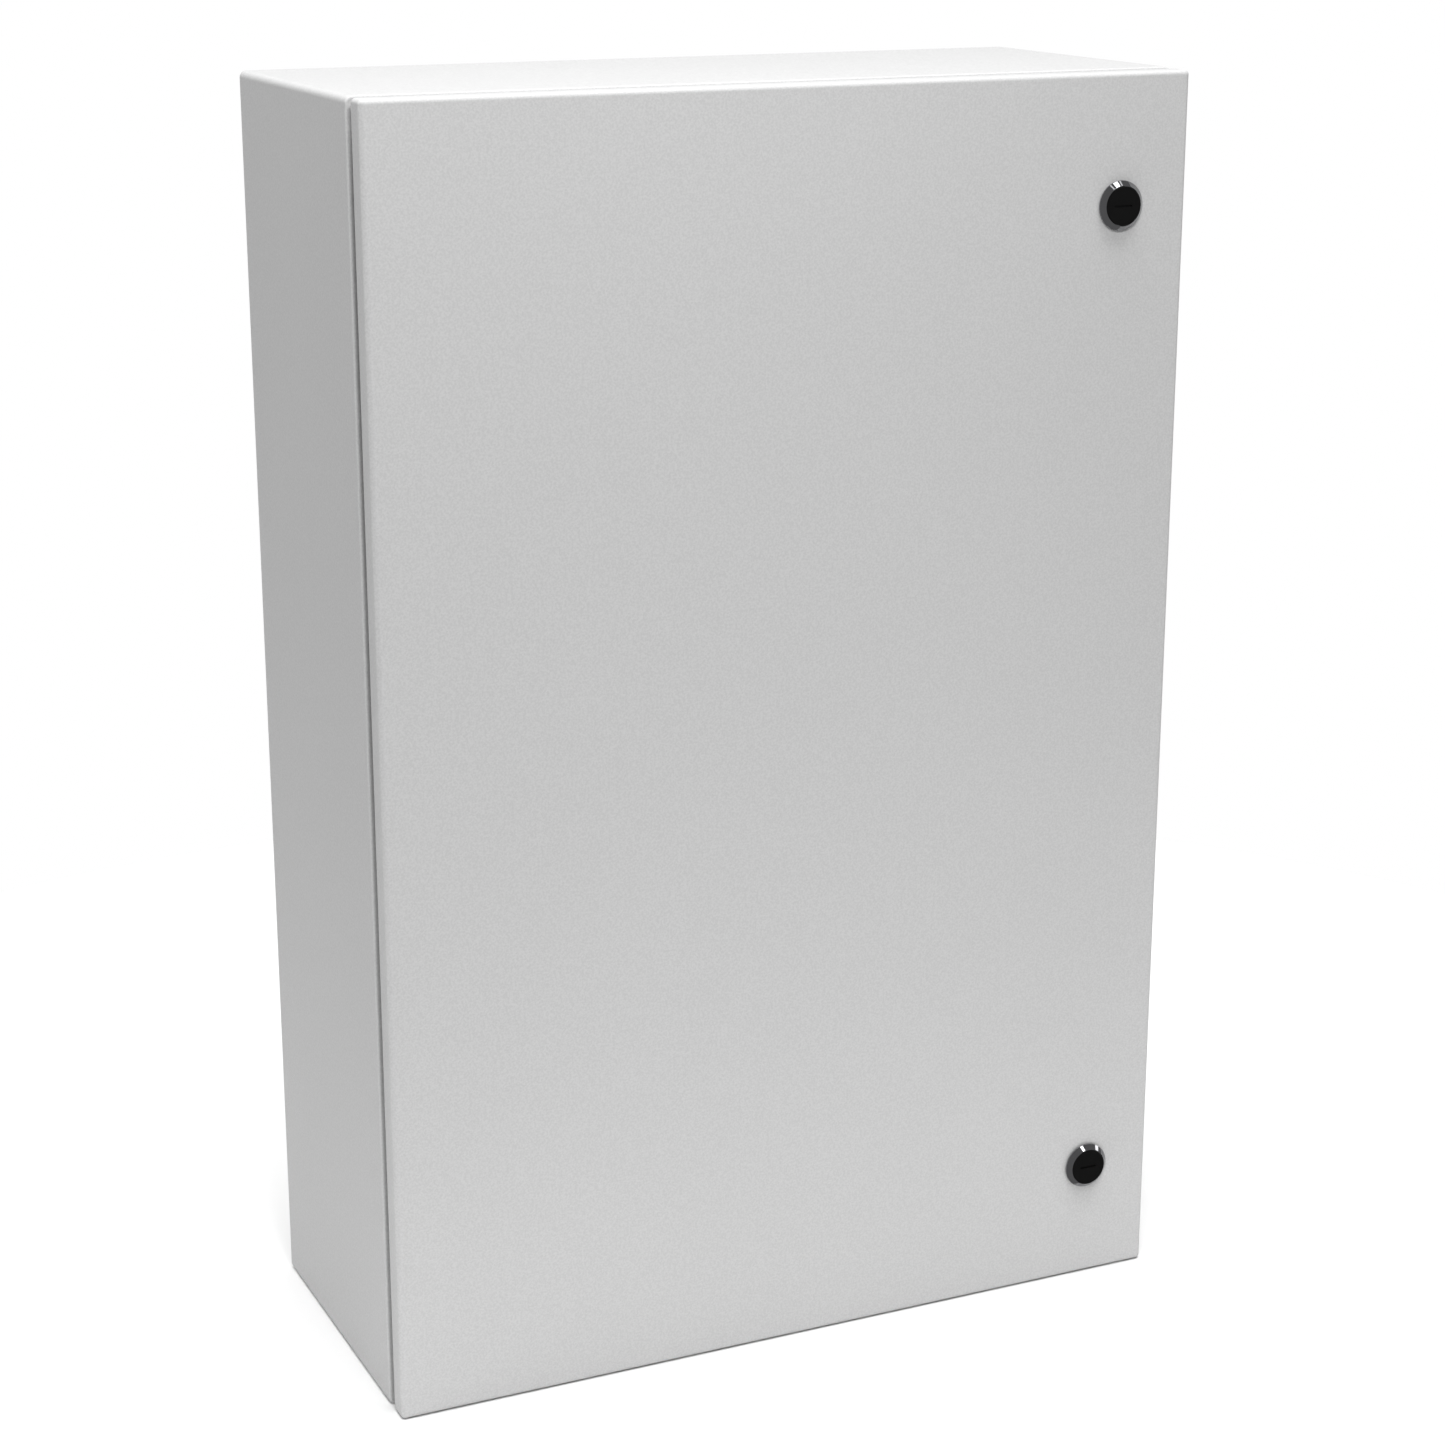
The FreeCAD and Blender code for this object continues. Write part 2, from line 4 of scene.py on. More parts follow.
import bmesh
import bpy
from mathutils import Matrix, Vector, noise


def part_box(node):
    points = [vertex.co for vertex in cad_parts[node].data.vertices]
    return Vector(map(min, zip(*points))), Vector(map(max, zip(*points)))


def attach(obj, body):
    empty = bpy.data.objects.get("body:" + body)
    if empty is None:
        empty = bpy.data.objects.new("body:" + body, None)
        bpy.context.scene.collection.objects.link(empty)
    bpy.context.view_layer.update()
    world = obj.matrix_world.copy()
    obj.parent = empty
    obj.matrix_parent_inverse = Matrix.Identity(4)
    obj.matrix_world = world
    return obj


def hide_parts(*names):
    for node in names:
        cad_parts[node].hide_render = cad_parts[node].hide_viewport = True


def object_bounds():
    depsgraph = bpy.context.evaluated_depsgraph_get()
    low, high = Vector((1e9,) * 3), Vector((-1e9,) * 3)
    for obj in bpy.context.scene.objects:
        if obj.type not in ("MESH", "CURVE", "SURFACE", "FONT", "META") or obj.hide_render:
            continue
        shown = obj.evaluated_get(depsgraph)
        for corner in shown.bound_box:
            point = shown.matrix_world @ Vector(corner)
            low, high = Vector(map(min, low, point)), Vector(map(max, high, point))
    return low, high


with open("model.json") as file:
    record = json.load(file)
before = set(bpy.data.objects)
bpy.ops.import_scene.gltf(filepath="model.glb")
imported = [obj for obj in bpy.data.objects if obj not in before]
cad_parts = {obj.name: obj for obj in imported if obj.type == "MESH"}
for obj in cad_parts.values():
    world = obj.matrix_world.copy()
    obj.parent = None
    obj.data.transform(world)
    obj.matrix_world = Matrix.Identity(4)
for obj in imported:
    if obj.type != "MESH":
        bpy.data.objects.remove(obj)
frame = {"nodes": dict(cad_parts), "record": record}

mm = 0.001
cadLow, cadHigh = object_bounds()
nodes = frame["nodes"]
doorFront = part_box("door_panel")[0].y
print("frame loaded,", len(nodes), "nodes")


def hexToLinear(hexColour):
    channels = [int(hexColour[i:i + 2], 16) / 255 for i in (0, 2, 4)]
    linear = [c / 12.92 if c <= 0.04045 else ((c + 0.055) / 1.055) ** 2.4 for c in channels]
    return (*linear, 1.0)


def addNode(tree, kind, values=None, links=None, **settings):
    # values go on sockets, links join other nodes' outputs, settings are the node's own
    node = tree.nodes.new(kind)
    for name, value in settings.items():
        setattr(node, name, value)
    for socket, value in (values or {}).items():
        node.inputs[socket].default_value = value
    for socket, source in (links or {}).items():
        tree.links.new(source, node.inputs[socket])
    return node


def startMaterial(name):
    material = bpy.data.materials.new(name)
    material.use_nodes = True
    tree = material.node_tree
    tree.nodes.clear()
    place = addNode(tree, "ShaderNodeTexCoord").outputs["Object"]
    return material, tree, place


def finishMaterial(tree, values, links):
    surface = addNode(tree, "ShaderNodeBsdfPrincipled", values, links)
    addNode(tree, "ShaderNodeOutputMaterial", links={"Surface": surface.outputs["BSDF"]})


def perMetre(sizeMm):
    # noise and cell patterns repeat once per unit, so this gives the scale for a grain of that size
    return 1000 / sizeMm


cameraSettings = {
    "lensMm": 75.21,
    "sensorMm": 36,
    "azimuthDeg": 24.693,       # looks towards +Y, turned this much towards +X
    "elevationDeg": 16.294,     # looks down by this much
    "distance": 2.0886,         # from the point it aims at, in metres
    "aimAcross": 0.2486,        # that point on the door's front, from its lower left corner
    "aimUp": 0.4820,
    "clipEnd": 100,
}


def buildCamera(settings):
    azimuth = math.radians(settings["azimuthDeg"])
    elevation = math.radians(settings["elevationDeg"])
    level = math.cos(elevation)
    forward = Vector((math.sin(azimuth) * level, math.cos(azimuth) * level, -math.sin(elevation)))
    aim = Vector((cadLow.x + settings["aimAcross"], doorFront, settings["aimUp"]))
    data = bpy.data.cameras.new("camera")
    data.lens = settings["lensMm"]
    data.sensor_width = settings["sensorMm"]
    data.clip_end = settings["clipEnd"]
    camera = bpy.data.objects.new("camera", data)
    camera.location = aim - forward * settings["distance"]
    camera.rotation_euler = forward.to_track_quat("-Z", "Y").to_euler()
    bpy.context.scene.collection.objects.link(camera)
    bpy.context.scene.camera = camera


buildCamera(cameraSettings)
print("camera placed")


studioSettings = {
    "surroundSeen": 1.0,        # what the eye meets past the floor
    "surroundSoft": 0.12,       # what fills in matt surfaces
    "surroundShine": 0.21,      # what polished surfaces reflect, a dim studio
    "floorColour": "f1f1f1",
    "floorShade": "efefef",     # the paint is very slightly uneven
    "floorPatchMm": 333,
    "floorRoughness": 0.9,
    "floorRadius": 1.15,
    "floorSides": 96,
    "ceilingFrom": (0.0, -0.07, 1.0),     # the big diffuser overhead, as a direction
    "ceilingSpreadDeg": 46,
    "ceilingStrength": 3.35,
}
# each hangs "far" metres from a latch, in the direction "towards", and faces back to it
# "size" is in metres, "power" in watts, and "glint" says whether the chrome mirrors it
softBoxes = {
    "upperMain": {"latch": "upper", "towards": (0.167, -0.299, 0.94), "far": 2.0,
                  "size": (0.55, 0.50), "power": 4.5, "glint": True},
    "upperLeft": {"latch": "upper", "towards": (-0.142, -0.407, 0.902), "far": 2.0,
                  "size": (0.12, 0.50), "power": 0.3, "glint": True},
    "upperRight": {"latch": "upper", "towards": (0.424, -0.187, 0.886), "far": 2.0,
                   "size": (0.12, 0.50), "power": 0.3, "glint": True},
    "frontFill": {"latch": "lower", "towards": (0.131, -0.551, 0.824), "far": 2.05,
                  "size": (0.36, 0.36), "power": 2.6, "glint": True,
                  "aimFromTop": 0.1},   # faces the door's middle instead, this far below the top
    "topFill": {"latch": "upper", "towards": (-0.45, -0.72, 0.53), "far": 1.5,
                "size": (0.36, 0.36), "power": 9.4, "glint": False},
    "lowerSide": {"latch": "lower", "towards": (0.938, -0.118, 0.325), "far": 1.6,
                  "size": (0.20, 0.40), "power": 0.7, "glint": True},
    "leftFill": {"latch": "upper", "towards": (-0.92, 0.25, 0.35), "far": 2.2,
                 "size": (0.9, 0.9), "power": 10.5, "glint": False},
}


def buildSurround(settings):
    world = bpy.data.worlds.new("studio")
    world.use_nodes = True
    tree = world.node_tree
    tree.nodes.clear()
    ray = addNode(tree, "ShaderNodeLightPath")
    shine = addNode(tree, "ShaderNodeMix", {"A": settings["surroundSoft"], "B": settings["surroundShine"]},
                    {"Factor": ray.outputs["Is Glossy Ray"]})
    seen = addNode(tree, "ShaderNodeMix", {"B": settings["surroundSeen"]},
                   {"Factor": ray.outputs["Is Camera Ray"], "A": shine.outputs["Result"]})
    sky = addNode(tree, "ShaderNodeBackground", {"Color": (1, 1, 1, 1)},
                  {"Strength": seen.outputs["Result"]})
    addNode(tree, "ShaderNodeOutputWorld", links={"Surface": sky.outputs["Background"]})
    bpy.context.scene.world = world
    bpy.context.scene.view_settings.view_transform = "Standard"


def buildFloor(settings):
    bm = bmesh.new()
    bmesh.ops.create_circle(bm, cap_ends=True, segments=settings["floorSides"],
                            radius=settings["floorRadius"])
    mesh = bpy.data.meshes.new("floor")
    bm.to_mesh(mesh)
    bm.free()
    floor = bpy.data.objects.new("floor", mesh)
    floor.visible_glossy = False    # the latches mirror a dim studio, not the floor
    bpy.context.scene.collection.objects.link(floor)
    # rolled emulsion paint on board: flat and pale, with patches hardly to be seen
    paint, tree, place = startMaterial("matt white studio floor")
    patches = addNode(tree, "ShaderNodeTexNoise",
                      {"Scale": perMetre(settings["floorPatchMm"]), "Detail": 2.0}, {"Vector": place})
    tone = addNode(tree, "ShaderNodeMix", {"A": hexToLinear(settings["floorShade"]),
                                           "B": hexToLinear(settings["floorColour"])},
                   {"Factor": patches.outputs["Fac"]}, data_type="RGBA")
    finishMaterial(tree, {"Roughness": settings["floorRoughness"]}, {"Base Color": tone.outputs["Result"]})
    mesh.materials.append(paint)


def hangLamp(light, facing, place=Vector((0, 0, 0))):
    lamp = bpy.data.objects.new(light.name, light)
    lamp.location = place
    lamp.rotation_euler = facing.to_track_quat("-Z", "Y").to_euler()
    bpy.context.scene.collection.objects.link(lamp)
    return lamp


def buildLights(settings, boxes):
    ceiling = bpy.data.lights.new("ceiling", "SUN")
    ceiling.angle = math.radians(settings["ceilingSpreadDeg"])
    ceiling.energy = settings["ceilingStrength"]
    hung = hangLamp(ceiling, -Vector(settings["ceilingFrom"]))
    hung.visible_glossy = False     # too broad a glint for polished metal
    for name, box in boxes.items():
        low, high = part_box(box["latch"] + "_latch_housing")
        middle = (low + high) / 2
        aim = middle
        if "aimFromTop" in box:
            aim = Vector((0, doorFront, cadHigh.z - box["aimFromTop"]))
        light = bpy.data.lights.new(name, "AREA")
        light.shape = "RECTANGLE"
        light.size, light.size_y = box["size"]
        light.energy = box["power"]
        place = middle + Vector(box["towards"]).normalized() * box["far"]
        hung = hangLamp(light, aim - place, place)
        hung.visible_camera = False
        hung.visible_glossy = box["glint"]


buildSurround(studioSettings)
buildFloor(studioSettings)
buildLights(studioSettings, softBoxes)
print("studio lit")


# nearly all of a noise pattern's values lie between these
noiseRange = {"From Min": 0.3, "From Max": 0.7}

powderSettings = {
    "colour": "dadada",
    "hollowColour": "cdcdcd",   # down in the texture, where less light gets
    "cloudMm": 180,
    "cloudShare": 0.2,
    "grainMm": 1.5,             # real grain is about 0.4 mm, drawn coarser so that it shows
    "grainRange": (0.36, 0.64),
    "peelMm": 7,
    "peelShare": 0.4,
    "roughness": (0.42, 0.56),
    "ior": 1.5,
    "bump": 0.8,
    "reliefMm": 0.08,
}


def makePowderCoat(settings):
    # polyester powder baked on steel: an even, slightly sparkling light grey, soft broad highlights
    material, tree, place = startMaterial("fine-texture polyester powder coat")
    cloud = addNode(tree, "ShaderNodeTexNoise", {"Scale": perMetre(settings["cloudMm"]), "Detail": 3.0},
                    {"Vector": place})
    grain = addNode(tree, "ShaderNodeTexNoise", {"Scale": perMetre(settings["grainMm"]), "Detail": 2.0,
                                                 "Roughness": 0.6}, {"Vector": place})
    peel = addNode(tree, "ShaderNodeTexNoise", {"Scale": perMetre(settings["peelMm"]), "Detail": 1.0},
                   {"Vector": place})
    dark, pale = settings["grainRange"]
    speck = addNode(tree, "ShaderNodeMapRange", {"From Min": dark, "From Max": pale},
                    {"Value": grain.outputs["Fac"]})
    mixed = addNode(tree, "ShaderNodeMix", {"Factor": settings["cloudShare"]},
                    {"A": speck.outputs["Result"], "B": cloud.outputs["Fac"]})
    tone = addNode(tree, "ShaderNodeMix", {"A": hexToLinear(settings["hollowColour"]),
                                           "B": hexToLinear(settings["colour"])},
                   {"Factor": mixed.outputs["Result"]}, data_type="RGBA")
    low, high = settings["roughness"]
    gloss = addNode(tree, "ShaderNodeMapRange", {**noiseRange, "To Min": low, "To Max": high},
                    {"Value": grain.outputs["Fac"]})
    height = addNode(tree, "ShaderNodeMix", {"Factor": settings["peelShare"]},
                     {"A": grain.outputs["Fac"], "B": peel.outputs["Fac"]})
    bump = addNode(tree, "ShaderNodeBump",
                   {"Strength": settings["bump"], "Distance": settings["reliefMm"] * mm},
                   {"Height": height.outputs["Result"]})
    finishMaterial(tree, {"IOR": settings["ior"], "Metallic": 0.0},
                   {"Base Color": tone.outputs["Result"], "Roughness": gloss.outputs["Result"],
                    "Normal": bump.outputs["Normal"]})
    return material


chromeSettings = {
    "colour": "a2a2a4",
    "dullColour": "949497",
    "hazeMm": 7,
    "roughness": (0.03, 0.06),
    "bump": 0.02,
    "reliefMm": 0.03,
}


def makeChrome(settings):
    # bright chrome plated on a zinc casting: mirror-like, with the cast surface faintly wavy under it
    material, tree, place = startMaterial("chrome plate on zinc casting")
    haze = addNode(tree, "ShaderNodeTexNoise", {"Scale": perMetre(settings["hazeMm"]), "Detail": 3.0},
                   {"Vector": place})
    tone = addNode(tree, "ShaderNodeMix", {"A": hexToLinear(settings["colour"]),
                                           "B": hexToLinear(settings["dullColour"])},
                   {"Factor": haze.outputs["Fac"]}, data_type="RGBA")
    low, high = settings["roughness"]
    gloss = addNode(tree, "ShaderNodeMapRange", {**noiseRange, "To Min": low, "To Max": high},
                    {"Value": haze.outputs["Fac"]})
    bump = addNode(tree, "ShaderNodeBump",
                   {"Strength": settings["bump"], "Distance": settings["reliefMm"] * mm},
                   {"Height": haze.outputs["Fac"]})
    finishMaterial(tree, {"Metallic": 1.0},
                   {"Base Color": tone.outputs["Result"], "Roughness": gloss.outputs["Result"],
                    "Normal": bump.outputs["Normal"]})
    return material


blackSettings = {
    "colour": "0a0a0a",
    "rubbedColour": "0f0f0f",
    "rubMm": 9,
    "sparkMm": 1.0,             # spark-eroded mould grain, drawn about three times coarser
    "roughness": (0.38, 0.55),
    "ior": 1.53,
    "specular": 0.2,            # the grain traps most of the shine
    "bump": 0.2,
    "reliefMm": 0.05,
}


def makeBlackNylon(settings):
    # glass-filled nylon moulded in an eroded tool: dull black with a fine satin grain
    material, tree, place = startMaterial("moulded black nylon")
    spark = addNode(tree, "ShaderNodeTexNoise", {"Scale": perMetre(settings["sparkMm"]), "Detail": 2.0},
                    {"Vector": place})
    rub = addNode(tree, "ShaderNodeTexNoise", {"Scale": perMetre(settings["rubMm"]), "Detail": 2.0},
                  {"Vector": place})
    tone = addNode(tree, "ShaderNodeMix", {"A": hexToLinear(settings["colour"]),
                                           "B": hexToLinear(settings["rubbedColour"])},
                   {"Factor": rub.outputs["Fac"]}, data_type="RGBA")
    low, high = settings["roughness"]
    gloss = addNode(tree, "ShaderNodeMapRange", {**noiseRange, "To Min": low, "To Max": high},
                    {"Value": rub.outputs["Fac"]})
    bump = addNode(tree, "ShaderNodeBump",
                   {"Strength": settings["bump"], "Distance": settings["reliefMm"] * mm},
                   {"Height": spark.outputs["Fac"]})
    finishMaterial(tree, {"IOR": settings["ior"], "Metallic": 0.0,
                          "Specular IOR Level": settings["specular"]},
                   {"Base Color": tone.outputs["Result"], "Roughness": gloss.outputs["Result"],
                    "Normal": bump.outputs["Normal"]})
    return material


foamSettings = {
    "colour": "2b2b2c",
    "dustColour": "3a3a3a",
    "skinMm": 14,
    "cellMm": 0.9,
    "roughness": (0.72, 0.92),
    "ior": 1.45,
    "bump": 0.5,
    "reliefMm": 0.15,
}


def makeFoam(settings):
    # polyurethane foamed on in place: matt charcoal skin with tiny closed cells
    material, tree, place = startMaterial("foamed-in polyurethane")
    cells = addNode(tree, "ShaderNodeTexVoronoi", {"Scale": perMetre(settings["cellMm"])},
                    {"Vector": place})
    skin = addNode(tree, "ShaderNodeTexNoise", {"Scale": perMetre(settings["skinMm"]), "Detail": 3.0},
                   {"Vector": place})
    tone = addNode(tree, "ShaderNodeMix", {"A": hexToLinear(settings["colour"]),
                                           "B": hexToLinear(settings["dustColour"])},
                   {"Factor": skin.outputs["Fac"]}, data_type="RGBA")
    low, high = settings["roughness"]
    gloss = addNode(tree, "ShaderNodeMapRange", {"To Min": low, "To Max": high},
                    {"Value": skin.outputs["Fac"]})
    bump = addNode(tree, "ShaderNodeBump",
                   {"Strength": settings["bump"], "Distance": settings["reliefMm"] * mm},
                   {"Height": cells.outputs["Distance"]})
    finishMaterial(tree, {"IOR": settings["ior"], "Metallic": 0.0},
                   {"Base Color": tone.outputs["Result"], "Roughness": gloss.outputs["Result"],
                    "Normal": bump.outputs["Normal"]})
    return material


rubberSettings = {
    "colour": "1b1b1c",
    "bloomColour": "2c2c2c",    # the grey wax bloom that old rubber shows
    "bloomMm": 22,
    "grainMm": 1.2,
    "roughness": (0.6, 0.85),
    "ior": 1.5,
    "bump": 0.25,
    "reliefMm": 0.06,
}


def makeRubber(settings):
    # pressed EPDM sheet: dull black, faintly greyed
    material, tree, place = startMaterial("pressed EPDM rubber")
    grain = addNode(tree, "ShaderNodeTexNoise", {"Scale": perMetre(settings["grainMm"]), "Detail": 3.0},
                    {"Vector": place})
    bloom = addNode(tree, "ShaderNodeTexNoise", {"Scale": perMetre(settings["bloomMm"]), "Detail": 3.0},
                    {"Vector": place})
    tone = addNode(tree, "ShaderNodeMix", {"A": hexToLinear(settings["colour"]),
                                           "B": hexToLinear(settings["bloomColour"])},
                   {"Factor": bloom.outputs["Fac"]}, data_type="RGBA")
    low, high = settings["roughness"]
    gloss = addNode(tree, "ShaderNodeMapRange", {"To Min": low, "To Max": high},
                    {"Value": bloom.outputs["Fac"]})
    bump = addNode(tree, "ShaderNodeBump",
                   {"Strength": settings["bump"], "Distance": settings["reliefMm"] * mm},
                   {"Height": grain.outputs["Fac"]})
    finishMaterial(tree, {"IOR": settings["ior"], "Metallic": 0.0},
                   {"Base Color": tone.outputs["Result"], "Roughness": gloss.outputs["Result"],
                    "Normal": bump.outputs["Normal"]})
    return material


galvanisedSettings = {
    "darkColour": "a3a7aa",
    "lightColour": "c4c7c9",
    "oxideShare": 0.5,          # the dull oxide skin scatters the rest
    "spangleMm": 9,             # zinc crystals of hot-dip sheet
    "edgeMm": 6,
    "edgeWander": 0.004,        # how far the crystals' edges stray
    "roughness": (0.30, 0.48),
    "bump": 0.1,
    "reliefMm": 0.05,
}


def makeGalvanised(settings):
    # hot-dip zinc sheet: cool grey metal broken into dull and bright crystals
    material, tree, place = startMaterial("hot-dip galvanised sheet")
    edge = addNode(tree, "ShaderNodeTexNoise", {"Scale": perMetre(settings["edgeMm"]), "Detail": 2.0},
                   {"Vector": place})
    warped = addNode(tree, "ShaderNodeMix", {"Factor": settings["edgeWander"]},
                     {"A": place, "B": edge.outputs["Color"]}, data_type="VECTOR")
    crystal = addNode(tree, "ShaderNodeTexVoronoi", {"Scale": perMetre(settings["spangleMm"])},
                      {"Vector": warped.outputs["Result"]})
    shade = addNode(tree, "ShaderNodeSeparateColor", links={"Color": crystal.outputs["Color"]})
    tone = addNode(tree, "ShaderNodeMix", {"A": hexToLinear(settings["darkColour"]),
                                           "B": hexToLinear(settings["lightColour"])},
                   {"Factor": shade.outputs["Red"]}, data_type="RGBA")
    low, high = settings["roughness"]
    gloss = addNode(tree, "ShaderNodeMapRange", {"To Min": low, "To Max": high},
                    {"Value": shade.outputs["Green"]})
    bump = addNode(tree, "ShaderNodeBump",
                   {"Strength": settings["bump"], "Distance": settings["reliefMm"] * mm},
                   {"Height": edge.outputs["Fac"]})
    finishMaterial(tree, {"Metallic": 1 - settings["oxideShare"]},
                   {"Base Color": tone.outputs["Result"], "Roughness": gloss.outputs["Result"],
                    "Normal": bump.outputs["Normal"]})
    return material


zincSettings = {
    "colour": "c2c6ca",
    "stainColour": "adb0af",
    "passiveShare": 0.25,       # scattered by the passivation film
    "cloudMm": 11,
    "grainMm": 1.5,             # plating grain, drawn many times coarser so that it shows
    "roughness": (0.22, 0.38),
    "bump": 0.15,
    "reliefMm": 0.04,
}


def makeZincPlate(settings):
    # electroplated bright zinc, blue passivated: cool satin metal with faint clouding
    material, tree, place = startMaterial("blue-passivated zinc plate")
    cloud = addNode(tree, "ShaderNodeTexNoise", {"Scale": perMetre(settings["cloudMm"]), "Detail": 4.0},
                    {"Vector": place})
    grain = addNode(tree, "ShaderNodeTexNoise", {"Scale": perMetre(settings["grainMm"]), "Detail": 2.0},
                    {"Vector": place})
    tone = addNode(tree, "ShaderNodeMix", {"A": hexToLinear(settings["colour"]),
                                           "B": hexToLinear(settings["stainColour"])},
                   {"Factor": cloud.outputs["Fac"]}, data_type="RGBA")
    low, high = settings["roughness"]
    gloss = addNode(tree, "ShaderNodeMapRange", {**noiseRange, "To Min": low, "To Max": high},
                    {"Value": cloud.outputs["Fac"]})
    bump = addNode(tree, "ShaderNodeBump",
                   {"Strength": settings["bump"], "Distance": settings["reliefMm"] * mm},
                   {"Height": grain.outputs["Fac"]})
    finishMaterial(tree, {"Metallic": 1 - settings["passiveShare"]},
                   {"Base Color": tone.outputs["Result"], "Roughness": gloss.outputs["Result"],
                    "Normal": bump.outputs["Normal"]})
    return material


drawnSettings = {
    "colour": "a9abad",
    "oiledColour": "8f9193",
    "lineMm": 0.6,
    "lineStretch": 0.02,        # drawing lines run along Z, this share as tight as across
    "roughness": (0.18, 0.34),
    "bump": 0.2,
    "reliefMm": 0.03,
}


def makeDrawnSteel(settings):
    # cold-drawn bright bar: straight polishing lines along its length, a film of oil
    material, tree, place = startMaterial("cold-drawn bright steel")
    stretch = addNode(tree, "ShaderNodeMapping", {"Scale": (1, 1, settings["lineStretch"])},
                      {"Vector": place})
    lines = addNode(tree, "ShaderNodeTexNoise", {"Scale": perMetre(settings["lineMm"]), "Detail": 2.0},
                    {"Vector": stretch.outputs["Vector"]})
    tone = addNode(tree, "ShaderNodeMix", {"A": hexToLinear(settings["colour"]),
                                           "B": hexToLinear(settings["oiledColour"])},
                   {"Factor": lines.outputs["Fac"]}, data_type="RGBA")
    low, high = settings["roughness"]
    gloss = addNode(tree, "ShaderNodeMapRange", {**noiseRange, "To Min": low, "To Max": high},
                    {"Value": lines.outputs["Fac"]})
    bump = addNode(tree, "ShaderNodeBump",
                   {"Strength": settings["bump"], "Distance": settings["reliefMm"] * mm},
                   {"Height": lines.outputs["Fac"]})
    finishMaterial(tree, {"Metallic": 1.0},
                   {"Base Color": tone.outputs["Result"], "Roughness": gloss.outputs["Result"],
                    "Normal": bump.outputs["Normal"]})
    return material


zincPlate = makeZincPlate(zincSettings)
finishes = {
    "powder_coated_steel": makePowderCoat(powderSettings),
    "galvanised_steel": makeGalvanised(galvanisedSettings),
    "zinc_plated_steel": zincPlate,
    "steel_screws": zincPlate,
    "bright_steel": makeDrawnSteel(drawnSettings),
    "sealing_foam": makeFoam(foamSettings),
    "sealing_rubber": makeRubber(rubberSettings),
    "chromed_zinc": makeChrome(chromeSettings),
    "black_plastic": makeBlackNylon(blackSettings),
}

slotOfNode = {part["node"]: part["material_slot"] for part in frame["record"]["subparts"]}
for name, node in nodes.items():
    if not node.material_slots:
        node.data.materials.append(None)
    for slot in node.material_slots:
        slot.material = finishes[slotOfNode[name]]
print("finishes made:", len(finishes))


bodies = frame["record"]["behaviour"]["bodies"]
bodyOfNode = {name: body for body, names in bodies.items() for name in names}


def addPiece(name, bm, node, replaced=(), smoothAngle=35):
    # takes its body and finish from that node, and stands in for the replaced ones
    bmesh.ops.recalc_face_normals(bm, faces=bm.faces)
    for face in bm.faces:
        face.smooth = True
    for edge in bm.edges:
        if len(edge.link_faces) == 2:
            edge.smooth = edge.calc_face_angle(0) < math.radians(smoothAngle)
    mesh = bpy.data.meshes.new(name)
    bm.to_mesh(mesh)
    bm.free()
    mesh.materials.append(finishes[slotOfNode[node]])
    piece = bpy.data.objects.new(name, mesh)
    bpy.context.scene.collection.objects.link(piece)
    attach(piece, bodyOfNode[node])
    if replaced:
        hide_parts(*replaced)


def gridFaces(bm, rings):
    # fills between closed rings of vertices, from each one to the next
    for near, far in zip(rings, rings[1:]):
        for index in range(len(near)):
            after = (index + 1) % len(near)
            bm.faces.new((near[index], near[after], far[after], far[index]))


def spread(low, high, count):
    if count == 1:
        return [(low + high) / 2]
    return [low + (high - low) * step / (count - 1) for step in range(count)]


threadSettings = {
    "around": 18,               # sides of each rod
    "perPitch": 4,              # rings of vertices in one turn
    "depthShare": 0.6,          # thread depth as a share of its pitch
    "tipShare": 1.2,            # the tip's chamfer as a share of that depth
    "plainMm": 1.2,             # unthreaded length next to the weld
    # node: axis it lies along, way its free end points, how many across the other two axes,
    # thread size and pitch in mm
    "studs": {
        "panel_studs": ("y", -1, (2, 2), 8, 1.25),
        "gland_studs": ("z", 1, (4, 2), 6, 1.0),
        "body_earth_stud": ("x", 1, (1, 1), 8, 1.25),
        "door_earth_stud": ("y", 1, (1, 1), 8, 1.25),
    },
}


def addRod(bm, base, turn, length, radius, pitch, settings):
    depth = settings["depthShare"] * pitch
    chamfer = settings["tipShare"] * depth
    step = pitch / settings["perPitch"]
    around = settings["around"]
    rings = []
    along = 0
    while True:
        ring = []
        for index in range(around):
            share = index / around
            phase = (along / pitch - share) % 1
            cut = depth * abs(2 * phase - 1) if along > settings["plainMm"] * mm else 0
            tip = max(0, chamfer - (length - along))
            size = radius - max(cut, tip)
            angle = 2 * math.pi * share
            corner = Vector((size * math.cos(angle), size * math.sin(angle), along))
            ring.append(bm.verts.new(base + turn @ corner))
        rings.append(ring)
        if along >= length:
            break
        along = min(len(rings) * step, length)
    gridFaces(bm, rings)
    bm.faces.new(rings[0])
    bm.faces.new(rings[-1])


def buildThreads(settings):
    for name, (axis, way, counts, sizeMm, pitchMm) in settings["studs"].items():
        low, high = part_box(name)
        index = "xyz".index(axis)
        first, second = [other for other in range(3) if other != index]
        direction = Vector([way if other == index else 0 for other in range(3)])
        turn = Vector((0, 0, 1)).rotation_difference(direction)
        radius = sizeMm / 2 * mm
        bm = bmesh.new()
        for across in spread(low[first] + radius, high[first] - radius, counts[0]):
            for up in spread(low[second] + radius, high[second] - radius, counts[1]):
                base = Vector((0, 0, 0))
                base[index] = low[index] if way > 0 else high[index]
                base[first] = across
                base[second] = up
                addRod(bm, base, turn, high[index] - low[index], radius, pitchMm * mm, settings)
        addPiece(name + "_threaded", bm, name, (name,))


buildThreads(threadSettings)
print("threads cut")


